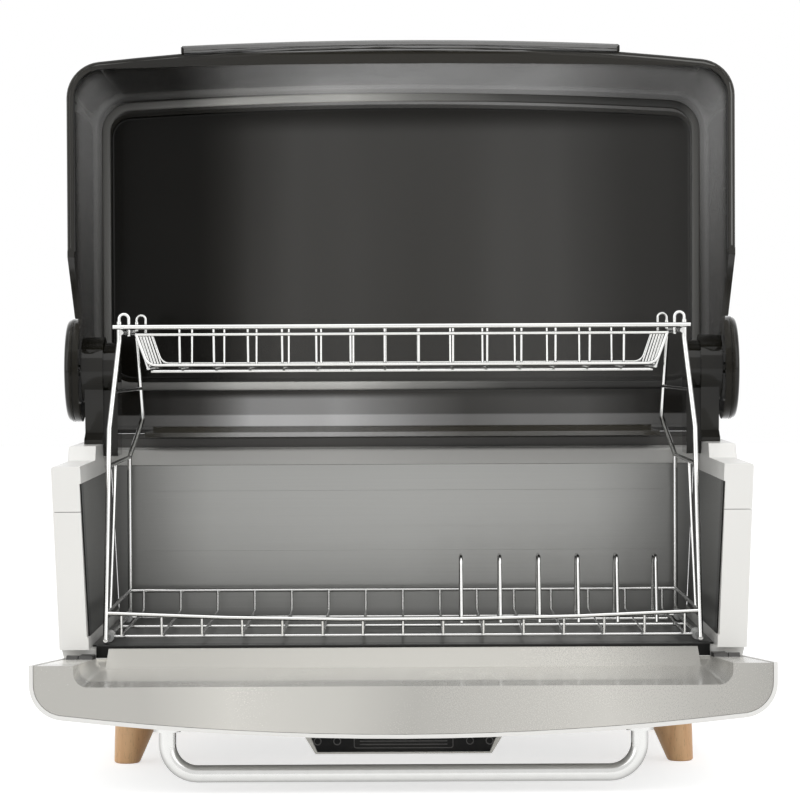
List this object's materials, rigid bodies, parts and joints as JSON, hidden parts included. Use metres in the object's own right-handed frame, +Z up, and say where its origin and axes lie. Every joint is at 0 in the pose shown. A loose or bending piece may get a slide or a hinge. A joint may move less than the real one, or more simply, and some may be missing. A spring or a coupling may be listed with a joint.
{
  "type": "dish sterilizer cabinet",
  "caption": "Countertop dish sterilizer and dryer cabinet with a lift-up smoked lid, a drop-down front door, lift-out wire racks, a touch panel and wooden feet.",
  "frame": {"origin": "middle of the box round the whole part with lid and door open, on the table under the feet", "axes": "+Z up, +Y towards the back, +X to the right for someone in front of the door"},
  "size_m": [0.4804, 0.4574, 0.4948],
  "materials": {
    "white_plastic": "smooth white",
    "steel_lining": "satin steel sheet",
    "smoked_plastic": "smoked, almost black, glossy",
    "plated_steel": "plated",
    "silver_plastic": "silver-grey lacquer",
    "grey_plastic": "dark grey",
    "satin_chrome": "satin",
    "clear_sleeve": "translucent sleeve",
    "wire_chrome": "bright plated wire",
    "beech": "oiled beech",
    "black_glass": "black, glossy",
    "circuit_board": "green board",
    "motor_metal": "grey",
    "wheel_plastic": "black moulding",
    "black_rubber": "matt"
  },
  "bodies": {
    "cabinet": {"air_heater": "motor_metal", "back_frame": "white_plastic", "back_lining": "steel_lining", "base_housing": "white_plastic", "blower_motor": "motor_metal", "bottom_cover": "white_plastic", "control_board": "circuit_board", "control_glass": "black_glass", "control_housing": "silver_plastic", "cord_gland": "black_rubber", "door_bracket_left": "grey_plastic", "door_bracket_right": "grey_plastic", "door_pin_left": "plated_steel", "door_pin_right": "plated_steel", "floor_tray": "steel_lining", "foot_front_left": "beech", "foot_front_right": "beech", "foot_plates": "plated_steel", "foot_rear_left": "beech", "foot_rear_right": "beech", "front_sill": "steel_lining", "hinge_arm_left": "smoked_plastic", "hinge_arm_right": "smoked_plastic", "hinge_pin_left": "plated_steel", "hinge_pin_right": "plated_steel", "lower_side_panel_left": "white_plastic", "lower_side_panel_right": "white_plastic", "rear_panel": "white_plastic", "rear_seal": "black_rubber", "side_lining_left": "steel_lining", "side_lining_right": "steel_lining", "upper_side_panel_left": "white_plastic", "upper_side_panel_right": "white_plastic"},
    "lid": {"lid_shell": "smoked_plastic", "lid_grip": "smoked_plastic", "hub_cap_left": "smoked_plastic", "hub_cap_right": "smoked_plastic"},
    "door": {"door_shell": "white_plastic", "door_liner": "silver_plastic", "door_knuckle_left": "grey_plastic", "door_knuckle_right": "grey_plastic", "door_handle": "satin_chrome", "handle_collars": "satin_chrome"},
    "rack": {"plate_dividers": "wire_chrome", "rack_feet": "clear_sleeve", "rack_floor": "wire_chrome", "rack_front_rail": "wire_chrome", "rack_rear_rail": "wire_chrome", "rack_side_left": "wire_chrome", "rack_side_right": "wire_chrome"},
    "basket": {"basket_end_left": "wire_chrome", "basket_end_right": "wire_chrome", "basket_floor": "wire_chrome", "basket_front": "wire_chrome", "basket_rear": "wire_chrome"},
    "blower_rotor": {"blower_wheel": "wheel_plastic"}
  },
  "joints": [
    {"name": "lid_hinge", "type": "hinge", "parent": "cabinet", "child": "lid", "pos_m": [0, 0.09475, 0.2635], "axis": [1, 0, 0], "range_deg": [0, 90]},
    {"name": "door_hinge", "type": "hinge", "parent": "cabinet", "child": "door", "pos_m": [0, -0.09825, 0.071], "axis": [-1, 0, 0], "range_deg": [0, 90]},
    {"name": "rack_lift", "type": "slide", "parent": "cabinet", "child": "rack", "axis": [0, 0, 1], "range_m": [0, 0.04]},
    {"name": "basket_lift", "type": "slide", "parent": "rack", "child": "basket", "axis": [0, 0, 1], "range_m": [0, 0.04]},
    {"name": "blower_spin", "type": "hinge", "parent": "cabinet", "child": "blower_rotor", "pos_m": [0, 0.03575, 0.06], "axis": [0, 0, 1], "continuous": true}
  ]
}
